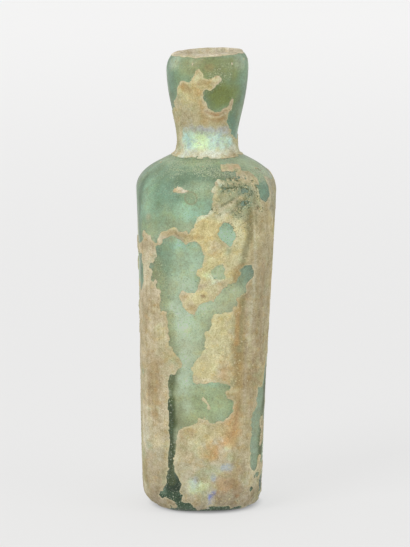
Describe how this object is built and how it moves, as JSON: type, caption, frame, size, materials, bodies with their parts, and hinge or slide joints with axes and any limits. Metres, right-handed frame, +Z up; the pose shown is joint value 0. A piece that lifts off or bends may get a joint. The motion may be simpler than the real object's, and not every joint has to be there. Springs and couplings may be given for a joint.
{
  "type": "ancient glass ointment bottle",
  "caption": "Tall square-bodied ointment bottle of thick weathered glass with a domed shoulder, short narrow neck and flared open mouth.",
  "frame": {"origin": "centre of the bounding box on the plane the base stands on", "axes": "+Z up through the mouth, -Y towards the face with the large bare panel, +X to the right of that face"},
  "size_m": [0.04, 0.04, 0.1313],
  "materials": {
    "glass": "dull blue-green glass, pitted and partly iridescent",
    "crust": "matt sandy mineral crust"
  },
  "bodies": {
    "root": {"bottle": "glass"}
  },
  "joints": []
}
